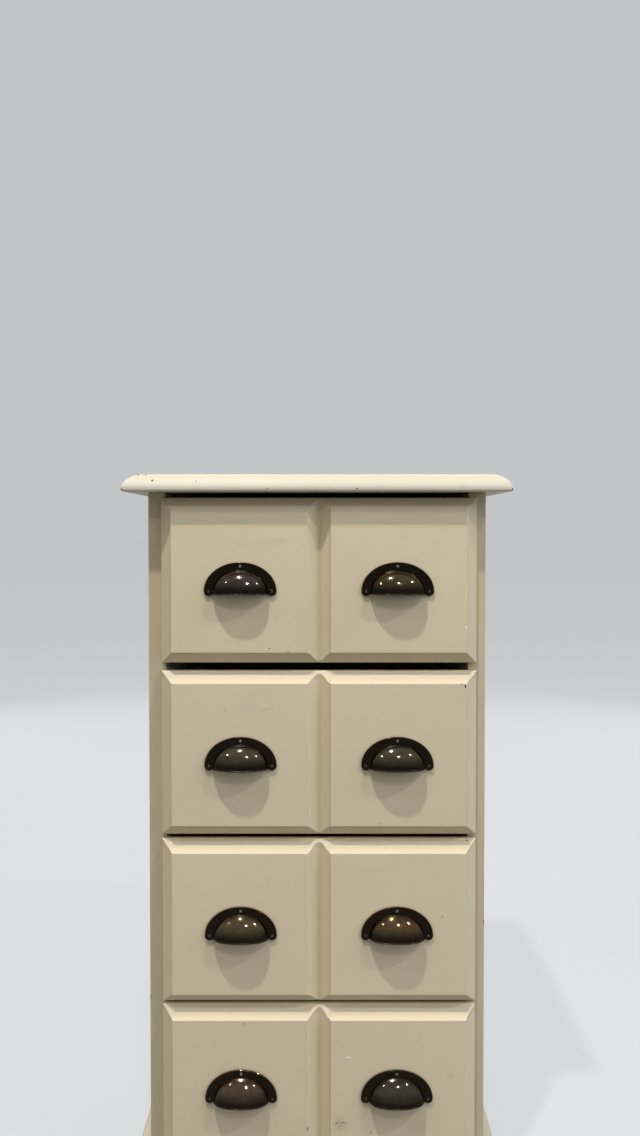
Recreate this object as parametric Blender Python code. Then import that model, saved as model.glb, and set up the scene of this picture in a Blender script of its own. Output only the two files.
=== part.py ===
"""Narrow chest of four drawers with double-fielded fronts, cup pulls, a moulded top and a plinth.

Metres, +Z up. The front faces -Y. The origin is on the floor, under the middle of the chest.
Left and right are as seen from the front.
"""

import math

import bmesh
import bpy
from mathutils import Matrix

# Carcass
CARCASS_WIDTH = 0.430
SIDE_DEPTH = 0.360
SIDE_THICKNESS = 0.022
BACK_THICKNESS = 0.006
BACK_LAP = 0.010
BASE_THICKNESS = 0.018
BASE_HOUSING = 0.006
BACK_RAIL_DEPTH = 0.045
CLEAT_WIDTH = 0.020
CLEAT_HEIGHT = 0.020
CLEAT_SETBACK = 0.060

# Top board, moulded on the front and both ends
TOP_THICKNESS = 0.0225
TOP_END_OVERHANG = 0.0265
TOP_FRONT_OVERHANG = 0.0365
TOP_MOULDING_WIDTH = 0.0215
TOP_MOULDING_HEIGHT = 0.018
TOP_LOWER_ROUND = 0.0025

# Plinth, applied round the foot of the carcass
PLINTH_HEIGHT = 0.072
PLINTH_LEDGE = 0.015
PLINTH_SHOULDER_WIDTH = 0.0096
PLINTH_SHOULDER_HEIGHT = 0.009
PLINTH_QUIRK = 0.0015
PLINTH_BLOCK = 0.030

# Drawer fronts
FRONT_REVEAL = 0.015
FRONT_OFFSET = 0.0025
FRONT_STANDOFF = 0.001
FIELD_HEIGHT = 0.180
BEVEL_WIDTH = 0.0145
BEVEL_DEPTH = 0.014
FRONT_LIP = 0.006
GROOVE_WIDTH = 0.029
GROOVE_RADIUS = 0.0064

# Gaps above the four drawer fronts, from the top one down, and under the lowest
FRONT_GAPS = (0.0070, 0.0102, 0.0059, 0.0041)
GAP_OVER_PLINTH = 0.0045

# Drawer boxes
BOX_TOP_DROP = 0.024
BOX_BOTTOM_RISE = 0.020
BOX_SIDE_THICKNESS = 0.014
BOX_BACK_THICKNESS = 0.012
BOX_REAR_CLEARANCE = 0.012
BOX_HOUSING = 0.005
BOX_BACK_INSET = 0.010
BOTTOM_THICKNESS = 0.004
BOTTOM_RISE = 0.010
BOTTOM_LAP = 0.005

# Wooden runners on the carcass sides, in grooves along the drawer sides
RUNNER_HEIGHT = 0.016
RUNNER_WIDTH = 0.0085
RUNNER_SETBACK = 0.010
RUNNER_RISE = 0.075

# Cup pulls
CUP_WIDTH = 0.0695
CUP_HEIGHT = 0.031
CUP_PROJECTION = 0.019
CUP_FULLNESS = 2.3
CUP_WALL = 0.002
FLANGE_THICKNESS = 0.0025
FLANGE_CROWN = 0.0083
LOBE_RADIUS = 0.006
LOBE_RISE = 0.003
LOBE_LAP = 0.0013
NOTCH_RISE = 0.001
SCREW_HOLE = 0.0034
CROWN_SCREW_DROP = 0.005
PULL_INBOARD = 0.0015

# From the top of each drawer's field to its pulls, from the top drawer down
PULL_DROPS = (0.0665, 0.0665, 0.0668, 0.0620)

# Clearances
FIT = 0.0003
BOX_SIDE_CLEARANCE = 0.0015
RUNNER_TIP_CLEARANCE = 0.0008
RUNNER_PLAY = 0.0005

# Facets
CURVE_STEPS = 8
SMALL_ROUND_STEPS = 3
SHOULDER_STEPS = 5
CUP_SEGMENTS = 24
CUP_RINGS = 18
HOLE_SIDES = 10
CREASE_DEGREES = 40
WELD = 0.00001
CUT_MARGIN = 0.005

# Sizes that follow from those above
OPENING_WIDTH = CARCASS_WIDTH - 2 * SIDE_THICKNESS
FRONT_WIDTH = CARCASS_WIDTH - 2 * FRONT_REVEAL
FRONT_HEIGHT = FIELD_HEIGHT + 2 * BEVEL_WIDTH
FRONT_THICKNESS = FRONT_LIP + BEVEL_DEPTH
FIELD_WIDTH = (FRONT_WIDTH - GROOVE_WIDTH) / 2 - BEVEL_WIDTH
PLINTH_THICKNESS = PLINTH_LEDGE + PLINTH_SHOULDER_WIDTH
BOX_WIDTH = OPENING_WIDTH - 2 * BOX_SIDE_CLEARANCE
BOX_HEIGHT = FRONT_HEIGHT - BOX_TOP_DROP - BOX_BOTTOM_RISE
BOX_INNER_WIDTH = BOX_WIDTH - 2 * BOX_SIDE_THICKNESS
RUNNER_GROOVE = RUNNER_WIDTH + RUNNER_TIP_CLEARANCE - BOX_SIDE_CLEARANCE
LOBE_X = CUP_WIDTH / 2 - LOBE_LAP + LOBE_RADIUS
FLANGE_TOP = CUP_HEIGHT + FLANGE_CROWN
PULL_X = (GROOVE_WIDTH + FIELD_WIDTH) / 2 - PULL_INBOARD

# Levels along the depth, with the middle of the whole chest at zero
OVERALL_DEPTH = SIDE_DEPTH + FRONT_STANDOFF + FRONT_THICKNESS + FIT + CUP_PROJECTION
BACK_Y = OVERALL_DEPTH / 2
CARCASS_FRONT_Y = BACK_Y - SIDE_DEPTH
PANEL_Y = BACK_Y - BACK_THICKNESS - FIT
FRONT_BACK_Y = CARCASS_FRONT_Y - FRONT_STANDOFF
BOX_REAR_Y = PANEL_Y - BOX_REAR_CLEARANCE

# Heights from the floor
FRONT_RISES = [PLINTH_HEIGHT + GAP_OVER_PLINTH]
for gap in FRONT_GAPS[:0:-1]:
    FRONT_RISES.insert(0, FRONT_RISES[0] + FRONT_HEIGHT + gap)
TOP_UNDERSIDE = FRONT_RISES[0] + FRONT_HEIGHT + FRONT_GAPS[0]

CHEST = bpy.data.collections.new("chest_of_drawers")
CUTTERS = bpy.data.collections.new("cutters")


def finish(name, colour, roughness, metallic=0.0):
    material = bpy.data.materials.new(name)
    material.use_nodes = True
    shader = material.node_tree.nodes["Principled BSDF"]
    shader.inputs["Base Color"].default_value = (*colour, 1.0)
    shader.inputs["Roughness"].default_value = roughness
    shader.inputs["Metallic"].default_value = metallic
    return material


def place(name, mesh, material, parent=None, location=(0.0, 0.0, 0.0)):
    """A copy of the mesh's piece in the chest, under its own name."""
    piece = bpy.data.objects.new(name, mesh)
    piece.location = location
    piece.parent = parent
    if not mesh.materials:
        mesh.materials.append(material)
    CHEST.objects.link(piece)
    return piece


def mesh_of(bm, name):
    bmesh.ops.recalc_face_normals(bm, faces=bm.faces)
    mesh = bpy.data.meshes.new(name)
    bm.to_mesh(mesh)
    bm.free()
    return mesh


def block(low, high):
    """A rectangular board between two corners."""
    bm = bmesh.new()
    bmesh.ops.create_cube(bm, size=1.0)
    sizes = [b - a for a, b in zip(low, high)]
    middle = [(a + b) / 2 for a, b in zip(low, high)]
    bmesh.ops.scale(bm, vec=sizes, verts=bm.verts)
    bmesh.ops.translate(bm, vec=middle, verts=bm.verts)
    return mesh_of(bm, "block")


def block_between(x, y, z):
    """A board from a pair of ends on each axis, in either order."""
    low = (min(x), min(y), min(z))
    high = (max(x), max(y), max(z))
    return block(low, high)


def stacked(layers):
    """A slab raised through rectangles, each given as low x, high x, low y, high y and height."""
    bm = bmesh.new()
    bmesh.ops.create_grid(bm, x_segments=1, y_segments=1, size=1.0)
    corners = list(bm.verts)
    face = next(iter(bm.faces))
    for index, (low_x, high_x, low_y, high_y, height) in enumerate(layers):
        if index:
            raised = bmesh.ops.extrude_face_region(bm, geom=[face])["geom"]
            if index > 1:
                bmesh.ops.delete(bm, geom=[face], context="FACES_ONLY")
            corners = [item for item in raised if isinstance(item, bmesh.types.BMVert)]
            face = next(item for item in raised if isinstance(item, bmesh.types.BMFace))
        middle_x = sum(corner.co.x for corner in corners) / len(corners)
        middle_y = sum(corner.co.y for corner in corners) / len(corners)
        for corner in corners:
            x = high_x if corner.co.x > middle_x else low_x
            y = high_y if corner.co.y > middle_y else low_y
            corner.co = (x, y, height)
    return mesh_of(bm, "slab")


def extruded(points, length):
    """A flat outline in x and y, drawn out along z to both sides of zero."""
    outline = bpy.data.curves.new("outline", "CURVE")
    outline.dimensions = "2D"
    outline.fill_mode = "BOTH"
    outline.extrude = length / 2
    spline = outline.splines.new("POLY")
    spline.points.add(len(points) - 1)
    for point, (x, y) in zip(spline.points, points):
        point.co = (x, y, 0.0, 1.0)
    spline.use_cyclic_u = True
    guide = bpy.data.objects.new("outline", outline)
    CUTTERS.objects.link(guide)
    mesh = evaluated_mesh(guide)
    bpy.data.objects.remove(guide)
    bm = bmesh.new()
    bm.from_mesh(mesh)
    bmesh.ops.remove_doubles(bm, verts=bm.verts, dist=WELD)
    bpy.data.meshes.remove(mesh)
    return mesh_of(bm, "outline")


def evaluated_mesh(piece):
    bpy.context.view_layer.update()
    graph = bpy.context.evaluated_depsgraph_get()
    return bpy.data.meshes.new_from_object(piece.evaluated_get(graph))


def combined(mesh, tools, operation="DIFFERENCE"):
    """The mesh after a Boolean with each of the tool meshes."""
    blank = bpy.data.objects.new("blank", mesh)
    CUTTERS.objects.link(blank)
    cutters = []
    for tool in tools:
        cutter = bpy.data.objects.new("cutter", tool)
        cutter.hide_render = True
        cutter.display_type = "WIRE"
        CUTTERS.objects.link(cutter)
        cutters.append(cutter)
        modifier = blank.modifiers.new(operation.lower(), "BOOLEAN")
        modifier.operation = operation
        modifier.object = cutter
    result = evaluated_mesh(blank)
    for helper in [blank, *cutters]:
        bpy.data.objects.remove(helper)
    return result


def arc(centre, radii, start, end, steps=CURVE_STEPS):
    """Points round part of an ellipse, both ends included, with angles in degrees from +x."""
    points = []
    for step in range(steps + 1):
        angle = math.radians(start + (end - start) * step / steps)
        x = centre[0] + radii[0] * math.cos(angle)
        y = centre[1] + radii[1] * math.sin(angle)
        points.append((x, y))
    return points


def cup_form(half_width, projection, height):
    """A dome to both sides of y = 0: an ellipse from the front, round over the crown, fuller to the sides."""
    section_radius = (projection**2 + height**2) / (2 * projection)
    bm = bmesh.new()
    bmesh.ops.create_uvsphere(bm, u_segments=CUP_SEGMENTS, v_segments=CUP_RINGS, radius=1.0)
    turn = Matrix.Rotation(math.pi / 2, 3, "Y")
    bmesh.ops.rotate(bm, cent=(0.0, 0.0, 0.0), matrix=turn, verts=bm.verts)
    for vert in bm.verts:
        spread = min(math.hypot(vert.co.x, vert.co.z), 1.0)
        side_reach = (1 - spread**CUP_FULLNESS) ** (1 / CUP_FULLNESS)
        arc_reach = math.sqrt(section_radius**2 - (spread * height) ** 2) - section_radius + projection
        crown = (vert.co.z / spread) ** 2 if spread > 0 else 0.0
        reach = crown * arc_reach / projection + (1 - crown) * side_reach
        vert.co.y = math.copysign(reach, vert.co.y)
    bmesh.ops.scale(bm, vec=(half_width, projection, height), verts=bm.verts)
    return bm


def sliced(bm, point, normal):
    """Removes what lies on the normal's side of a plane, and closes the cut."""
    geometry = [*bm.verts, *bm.edges, *bm.faces]
    bmesh.ops.bisect_plane(
        bm, geom=geometry, dist=WELD, plane_co=point, plane_no=normal, clear_outer=True
    )
    open_edges = [edge for edge in bm.edges if edge.is_boundary]
    bmesh.ops.holes_fill(bm, edges=open_edges)


def top_board_mesh():
    nose = TOP_THICKNESS - TOP_MOULDING_HEIGHT
    corner = (TOP_LOWER_ROUND, TOP_LOWER_ROUND)
    lower = arc(corner, corner, 270, 180, SMALL_ROUND_STEPS)
    upper = arc((TOP_MOULDING_WIDTH, nose), (TOP_MOULDING_WIDTH, TOP_MOULDING_HEIGHT), 180, 90)
    half_width = CARCASS_WIDTH / 2 + TOP_END_OVERHANG
    front = CARCASS_FRONT_Y - TOP_FRONT_OVERHANG
    layers = []
    for inset, height in lower + upper:
        layers.append(
            (inset - half_width, half_width - inset, front + inset, BACK_Y, TOP_UNDERSIDE + height)
        )
    return stacked(layers)


def side_mesh(sign):
    """A carcass side, rebated for the back panel and housed for the base board."""
    outer = sign * CARCASS_WIDTH / 2
    inner = sign * OPENING_WIDTH / 2
    panel_edge = sign * (OPENING_WIDTH / 2 + BACK_LAP + FIT)
    base_edge = sign * (OPENING_WIDTH / 2 + BASE_HOUSING + FIT)
    beyond = inner - sign * CUT_MARGIN
    board = block_between(
        (outer, inner), (CARCASS_FRONT_Y, BACK_Y), (0.0, TOP_UNDERSIDE - FIT)
    )
    rebate = block_between(
        (panel_edge, beyond), (PANEL_Y, BACK_Y + CUT_MARGIN), (-CUT_MARGIN, TOP_UNDERSIDE)
    )
    housing = block_between(
        (base_edge, beyond),
        (CARCASS_FRONT_Y - CUT_MARGIN, BACK_Y + CUT_MARGIN),
        (PLINTH_HEIGHT - BASE_THICKNESS - FIT, PLINTH_HEIGHT + FIT),
    )
    return combined(board, [rebate, housing])


def plinth_run(start, end, mitre_start, mitre_end):
    """A length of plinth along x whose moulded face looks to -y, its mitres longer on that face."""
    shoulder = arc(
        (PLINTH_LEDGE, PLINTH_HEIGHT - PLINTH_QUIRK - PLINTH_SHOULDER_HEIGHT),
        (PLINTH_SHOULDER_WIDTH, PLINTH_SHOULDER_HEIGHT),
        0,
        90,
        SHOULDER_STEPS,
    )
    profile = [(0.0, 0.0), (PLINTH_THICKNESS, 0.0), *shoulder]
    profile += [(PLINTH_LEDGE, PLINTH_HEIGHT), (0.0, PLINTH_HEIGHT)]
    run = extruded(profile, end - start)
    for vertex in run.vertices:
        outward, height, along = vertex.co
        mitre = mitre_end if along > 0 else -mitre_start
        x = (start + end) / 2 + along + mitre * outward
        vertex.co = (x, -outward, height)
    run.flip_normals()
    return run


def front_mesh():
    """A drawer front from its lower edge: bevelled all round, parted by a groove, slotted behind."""
    half = FRONT_WIDTH / 2
    fields = (BEVEL_WIDTH - half, half - BEVEL_WIDTH, BEVEL_WIDTH, FRONT_HEIGHT - BEVEL_WIDTH)
    slab = stacked(
        [
            (-half, half, 0.0, FRONT_HEIGHT, 0.0),
            (-half, half, 0.0, FRONT_HEIGHT, FRONT_LIP),
            (*fields, FRONT_THICKNESS),
        ]
    )
    slab.transform(Matrix.Rotation(math.pi / 2, 4, "X"))
    tools = [groove_mesh()]
    box_top = BOX_BOTTOM_RISE + BOX_HEIGHT
    for sign in (-1, 1):
        outer = sign * (BOX_WIDTH / 2 + FIT) - FRONT_OFFSET
        inner = sign * (BOX_INNER_WIDTH / 2 - FIT) - FRONT_OFFSET
        tools.append(
            block_between(
                (outer, inner),
                (-BOX_HOUSING - FIT, CUT_MARGIN),
                (BOX_BOTTOM_RISE - FIT, box_top + FIT),
            )
        )
    lap = BOX_INNER_WIDTH / 2 + BOTTOM_LAP + FIT
    bottom = BOX_BOTTOM_RISE + BOTTOM_RISE
    tools.append(
        block_between(
            (-lap - FRONT_OFFSET, lap - FRONT_OFFSET),
            (-BOTTOM_LAP - FIT, CUT_MARGIN),
            (bottom - FIT, bottom + BOTTOM_THICKNESS + FIT),
        )
    )
    return combined(slab, tools)


def groove_mesh():
    """The cutter for the upright groove: a V with the bevels' slope and a round valley."""
    slope = BEVEL_WIDTH / BEVEL_DEPTH
    half_angle = math.atan(slope)
    valley = GROOVE_WIDTH / 2 / slope - GROOVE_RADIUS / math.sin(half_angle)
    sweep = 90 - math.degrees(half_angle)
    mouth = GROOVE_WIDTH / 2 + CUT_MARGIN * slope
    field = -FRONT_THICKNESS
    points = [(-mouth, field - CUT_MARGIN), (mouth, field - CUT_MARGIN)]
    points += arc((0.0, field + valley), (GROOVE_RADIUS,) * 2, 90 - sweep, 90 + sweep)
    cutter = extruded(points, FRONT_HEIGHT + 2 * CUT_MARGIN)
    cutter.transform(Matrix.Translation((0.0, 0.0, FRONT_HEIGHT / 2)))
    return cutter


def box_side_mesh(sign):
    """A drawer side, grooved outside for its runner and inside for the bottom and the back."""
    outer = sign * BOX_WIDTH / 2
    inner = sign * BOX_INNER_WIDTH / 2
    front = FRONT_BACK_Y - BOX_HOUSING
    box_top = BOX_BOTTOM_RISE + BOX_HEIGHT
    runner = BOX_BOTTOM_RISE + RUNNER_RISE
    bottom = BOX_BOTTOM_RISE + BOTTOM_RISE
    back = BOX_REAR_Y - BOX_BACK_INSET
    run = (front - CUT_MARGIN, BOX_REAR_Y + CUT_MARGIN)
    side = block_between((outer, inner), (front, BOX_REAR_Y), (BOX_BOTTOM_RISE, box_top))
    runner_groove = block_between(
        (outer + sign * CUT_MARGIN, outer - sign * RUNNER_GROOVE),
        run,
        (runner - RUNNER_PLAY, runner + RUNNER_HEIGHT + FIT),
    )
    bottom_groove = block_between(
        (inner + sign * (BOTTOM_LAP + FIT), inner - sign * CUT_MARGIN),
        run,
        (bottom - FIT, bottom + BOTTOM_THICKNESS + FIT),
    )
    back_housing = block_between(
        (inner + sign * (BOX_HOUSING + FIT), inner - sign * CUT_MARGIN),
        (back - BOX_BACK_THICKNESS - FIT, back + FIT),
        (bottom + BOTTOM_THICKNESS, box_top + CUT_MARGIN),
    )
    return combined(side, [runner_groove, bottom_groove, back_housing])


def pull_mesh():
    """A cup pull from the middle of its rim: a hollow half dome on a crescent flange."""
    arch = (LOBE_X + LOBE_RADIUS, FLANGE_TOP - LOBE_RISE)
    notch = math.degrees(math.asin((LOBE_RISE - NOTCH_RISE) / LOBE_RADIUS))
    lobe = (LOBE_RADIUS,) * 2
    outline = arc((0.0, LOBE_RISE), arch, 0, 180, 2 * CURVE_STEPS)
    outline += arc((-LOBE_X, LOBE_RISE), lobe, 180, 360 - notch)[1:]
    outline += arc((LOBE_X, LOBE_RISE), lobe, 180 + notch, 360)[:-1]
    flange = extruded(outline, FLANGE_THICKNESS)
    flange.transform(Matrix.Rotation(math.pi / 2, 4, "X"))
    flange.transform(Matrix.Translation((0.0, -FLANGE_THICKNESS / 2, 0.0)))

    dome = cup_form(CUP_WIDTH / 2, CUP_PROJECTION, CUP_HEIGHT)
    sliced(dome, (0.0, 0.0, 0.0), (0.0, 0.0, -1.0))
    sliced(dome, (0.0, -FLANGE_THICKNESS / 2, 0.0), (0.0, 1.0, 0.0))
    inside = (CUP_WIDTH / 2 - CUP_WALL, CUP_PROJECTION - CUP_WALL, CUP_HEIGHT - CUP_WALL)
    hollow = mesh_of(cup_form(*inside), "hollow")
    solid = combined(flange, [mesh_of(dome, "dome")], "UNION")

    holes = []
    for x, z in screw_places():
        bm = bmesh.new()
        bmesh.ops.create_cone(
            bm,
            cap_ends=True,
            segments=HOLE_SIDES,
            radius1=SCREW_HOLE / 2,
            radius2=SCREW_HOLE / 2,
            depth=2 * (FLANGE_THICKNESS + CUT_MARGIN),
        )
        hole = mesh_of(bm, "screw_hole")
        hole.transform(Matrix.Translation((x, 0.0, z)) @ Matrix.Rotation(math.pi / 2, 4, "X"))
        holes.append(hole)
    pull = combined(solid, [hollow, *holes])
    pull.shade_smooth()
    pull.set_sharp_from_angle(angle=math.radians(CREASE_DEGREES))
    return pull


def screw_places():
    """The three screws of a pull, from the middle of its rim: one in the crown and one in each lobe."""
    return [
        (0.0, FLANGE_TOP - CROWN_SCREW_DROP),
        (-LOBE_X, LOBE_RISE),
        (LOBE_X, LOBE_RISE),
    ]


def build_carcass(paint, pine, plywood):
    inner = OPENING_WIDTH / 2 - FIT
    place("top_board", top_board_mesh(), paint)
    place("side_left", side_mesh(-1), paint)
    place("side_right", side_mesh(1), paint)

    panel_half = OPENING_WIDTH / 2 + BACK_LAP
    panel = block(
        (-panel_half, PANEL_Y + FIT, PLINTH_HEIGHT - BASE_THICKNESS),
        (panel_half, BACK_Y, TOP_UNDERSIDE - FIT),
    )
    place("back_panel", panel, plywood)

    base_half = OPENING_WIDTH / 2 + BASE_HOUSING
    base = block(
        (-base_half, CARCASS_FRONT_Y, PLINTH_HEIGHT - BASE_THICKNESS),
        (base_half, PANEL_Y, PLINTH_HEIGHT),
    )
    place("base_board", base, pine)

    under_top = (TOP_UNDERSIDE - FIT - CLEAT_HEIGHT, TOP_UNDERSIDE - FIT)
    rail_front = PANEL_Y - BACK_RAIL_DEPTH
    rail = block_between((-inner, inner), (rail_front, PANEL_Y), under_top)
    place("back_rail", rail, pine)

    for label, sign in (("left", -1), ("right", 1)):
        cleat = block_between(
            (sign * inner, sign * (inner - CLEAT_WIDTH)),
            (CARCASS_FRONT_Y + CLEAT_SETBACK, rail_front - FIT),
            under_top,
        )
        place(f"top_cleat_{label}", cleat, pine)


def build_plinth(paint, pine):
    half = CARCASS_WIDTH / 2
    inner = OPENING_WIDTH / 2 - FIT
    place(
        "plinth_front",
        plinth_run(-half, half, True, True),
        paint,
        location=(0.0, CARCASS_FRONT_Y - FIT, 0.0),
    )
    left = plinth_run(-BACK_Y, -CARCASS_FRONT_Y, False, True)
    left.transform(Matrix.Rotation(-math.pi / 2, 4, "Z"))
    place("plinth_left", left, paint, location=(-half - FIT, 0.0, 0.0))
    right = plinth_run(CARCASS_FRONT_Y, BACK_Y, True, False)
    right.transform(Matrix.Rotation(math.pi / 2, 4, "Z"))
    place("plinth_right", right, paint, location=(half + FIT, 0.0, 0.0))

    for label, sign in (("left", -1), ("right", 1)):
        glue_block = block_between(
            (sign * inner, sign * (inner - PLINTH_BLOCK)),
            (CARCASS_FRONT_Y, CARCASS_FRONT_Y + PLINTH_BLOCK),
            (0.0, PLINTH_HEIGHT - BASE_THICKNESS - FIT),
        )
        place(f"plinth_block_{label}", glue_block, pine)


def build_runners(pine):
    wall = OPENING_WIDTH / 2
    ends = (CARCASS_FRONT_Y + RUNNER_SETBACK, BOX_REAR_Y)
    for number, rise in enumerate(FRONT_RISES, start=1):
        foot = rise + BOX_BOTTOM_RISE + RUNNER_RISE
        for label, sign in (("left", -1), ("right", 1)):
            runner = block_between(
                (sign * (wall - FIT), sign * (wall - RUNNER_WIDTH)),
                ends,
                (foot, foot + RUNNER_HEIGHT),
            )
            place(f"runner_{number}_{label}", runner, pine)


def build_drawers(paint, pine, plywood, bronze):
    """Four like drawers, each under an empty on the line that it slides along."""
    front = front_mesh()
    side_left = box_side_mesh(-1)
    side_right = box_side_mesh(1)

    bottom_rise = BOX_BOTTOM_RISE + BOTTOM_RISE
    bottom_half = BOX_INNER_WIDTH / 2 + BOTTOM_LAP
    bottom = block(
        (-bottom_half, FRONT_BACK_Y - BOTTOM_LAP, bottom_rise),
        (bottom_half, BOX_REAR_Y, bottom_rise + BOTTOM_THICKNESS),
    )
    back_half = BOX_INNER_WIDTH / 2 + BOX_HOUSING
    back_rear = BOX_REAR_Y - BOX_BACK_INSET
    back = block(
        (-back_half, back_rear - BOX_BACK_THICKNESS, bottom_rise + BOTTOM_THICKNESS + FIT),
        (back_half, back_rear, BOX_BOTTOM_RISE + BOX_HEIGHT),
    )
    pull = pull_mesh()
    field_y = FRONT_BACK_Y - FRONT_THICKNESS - FIT

    for number, (rise, drop) in enumerate(zip(FRONT_RISES, PULL_DROPS), start=1):
        name = f"drawer_{number}"
        slide = bpy.data.objects.new(name, None)
        slide.location = (0.0, 0.0, rise)
        CHEST.objects.link(slide)
        place(f"{name}_front", front, paint, slide, (FRONT_OFFSET, FRONT_BACK_Y, 0.0))
        place(f"{name}_side_left", side_left, pine, slide)
        place(f"{name}_side_right", side_right, pine, slide)
        place(f"{name}_back", back, pine, slide)
        place(f"{name}_bottom", bottom, plywood, slide)
        rim = FRONT_HEIGHT - BEVEL_WIDTH - drop - FLANGE_TOP
        for label, sign in (("left", -1), ("right", 1)):
            spot = (FRONT_OFFSET + sign * PULL_X, field_y, rim)
            place(f"{name}_pull_{label}", pull, bronze, slide, spot)


def main():
    for old in list(bpy.data.objects):
        bpy.data.objects.remove(old)
    for collection in (CHEST, CUTTERS):
        bpy.context.scene.collection.children.link(collection)
    paint = finish("cream_paint", (0.80, 0.73, 0.56), 0.42)
    pine = finish("bare_pine", (0.62, 0.44, 0.25), 0.65)
    plywood = finish("plywood", (0.55, 0.41, 0.26), 0.70)
    bronze = finish("aged_bronze", (0.075, 0.055, 0.038), 0.38, 0.85)
    build_carcass(paint, pine, plywood)
    build_plinth(paint, pine)
    build_runners(pine)
    build_drawers(paint, pine, plywood, bronze)


main()
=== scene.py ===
"""The looks of a cream-painted chest of four drawers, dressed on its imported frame.

Metres, +Z up. The front faces -Y. Left and right are as seen from the front.
"""

import math
from collections import namedtuple

import bmesh
import bpy
from mathutils import Matrix, Vector


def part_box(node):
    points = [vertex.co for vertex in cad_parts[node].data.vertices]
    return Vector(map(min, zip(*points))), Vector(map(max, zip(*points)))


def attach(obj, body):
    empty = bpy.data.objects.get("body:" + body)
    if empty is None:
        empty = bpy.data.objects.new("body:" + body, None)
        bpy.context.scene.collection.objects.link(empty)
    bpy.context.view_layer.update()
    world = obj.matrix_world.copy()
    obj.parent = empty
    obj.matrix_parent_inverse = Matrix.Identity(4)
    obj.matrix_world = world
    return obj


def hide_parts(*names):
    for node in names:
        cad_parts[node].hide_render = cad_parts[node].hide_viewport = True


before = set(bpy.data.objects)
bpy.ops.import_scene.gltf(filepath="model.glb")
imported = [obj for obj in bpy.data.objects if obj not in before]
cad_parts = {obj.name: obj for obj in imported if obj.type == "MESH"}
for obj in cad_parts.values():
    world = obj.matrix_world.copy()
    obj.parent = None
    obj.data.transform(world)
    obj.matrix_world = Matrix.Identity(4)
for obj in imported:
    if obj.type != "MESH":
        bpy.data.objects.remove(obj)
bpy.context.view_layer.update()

DRAWERS = (1, 2, 3, 4)
HANDS = ("left", "right")

# Camera, worked out from the photograph's lines
CAMERA_PLACE = (0.0038, -1.247, 0.890)
CAMERA_TILT = -1.26
CAMERA_SHIFT = -0.0155
LENS = 27.03
SENSOR = 36.0

# Lamps and softboxes: their places, their levels on a surface at the chest that faces them, their colours
Lamp = namedtuple("Lamp", "place level colour", defaults=[(1.0, 1.0, 1.0)])
DAYLIGHT = (0.72, 0.82, 1.0)
LAMPS = {
    "key_lamp": Lamp((-0.40, -1.16, 3.66), 0.67),
    "front_lamp": Lamp((0.55, -3.10, 3.66), 0.11),
    "left_lamp": Lamp((-2.20, -1.75, 3.66), 0.06),
    "right_lamp": Lamp((2.20, -1.75, 3.66), 0.20),
}
SOFTBOXES = {
    "right_softbox": Lamp((3.1, -1.6, 2.2), 0.42, DAYLIGHT),
    "right_window": Lamp((3.1, -1.6, 2.2), 0.16, DAYLIGHT),
    "left_softbox": Lamp((-2.95, -1.95, 2.2), 0.14),
    "rear_left_softbox": Lamp((-1.7, 2.5, 1.8), 0.30),
    "rear_right_softbox": Lamp((1.7, 2.5, 1.8), 0.30),
}
# The softboxes that the bronze doesn't mirror
UNMIRRORED = ("right_softbox", "left_softbox", "rear_left_softbox", "rear_right_softbox")
LAMP_RADIUS = 0.05
SOFTBOX_SIZE = 3.0
LIT_POINT = (0.0, -0.15, 0.75)
AMBIENT = (0.08, 0.08, 0.083)
BACKDROP = (0.54, 0.555, 0.565)
FLOOR_TONE = (0.22, 0.22, 0.22)
FLOOR_RADIUS = 60.0
FLOOR_SIDES = 96

# Top board
TOP_MOULDING_WIDTH = 0.0215
TOP_MOULDING_HEIGHT = 0.018
TOP_FULLNESS = 1.65
TOP_LOWER_ROUND = 0.0025
TOP_ARRIS = 0.0010

# Plinth
PLINTH_LEDGE = 0.015
PLINTH_SHOULDER_WIDTH = 0.0096
PLINTH_SHOULDER_HEIGHT = 0.009
PLINTH_QUIRK = 0.0015
PLINTH_ARRIS = 0.0008

# Drawer fronts: a lip, a slope and a short steep riser up to the fields
FRONT_LIP = 0.006
BEVEL_WIDTH = 0.0145
RISER_WIDTH = 0.0026
RISER_HEIGHT = 0.0042
LIP_ROUND = 0.0025
QUIRK_ROUND = 0.0006
FIELD_ROUND = 0.0008
FIELD_MARGIN = 0.004
GROOVE_WIDTH = 0.029
GROOVE_RISER = 0.0034
GROOVE_PITCH = 42.0
GROOVE_ROUND = 0.0080
GROOVE_FLARE = 8.0
FRONT_ARRIS = 0.0005
FIT = 0.0003
CUT_MARGIN = 0.005

# Cup pulls
CUP_WIDTH = 0.0695
CUP_HEIGHT = 0.031
CUP_PROJECTION = 0.019
CUP_FULLNESS = 2.3
CUP_WALL = 0.002
CUP_LIP = 0.0010
# Heights up the cup over which the painted reflection turns from the dark patina to the rubbed tone
CUP_FOOT = 0.003
CUP_SHEEN_HEIGHT = 0.021
RIM_START = 184
RIM_END = 356
FLANGE_THICKNESS = 0.0025
FLANGE_TOP = 0.0393
FLANGE_ARRIS = 0.0007
FLANGE_CREASE_DEGREES = 60
LOBE_X = 0.03945
LOBE_RADIUS = 0.006
LOBE_RISE = 0.003
NOTCH_RISE = 0.001
CROWN_SCREW_DROP = 0.005
SCREW_HEAD_RADIUS = 0.0019
SCREW_HEAD_HEIGHT = 0.0010
SCREW_HEAD_ARC = 84
SCREW_SLOT_WIDTH = 0.0006
SCREW_SLOT_DEPTH = 0.0006
SCREW_TURNS = (4, 38, -27)
SCREW_TURN_STEP = 11

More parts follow.
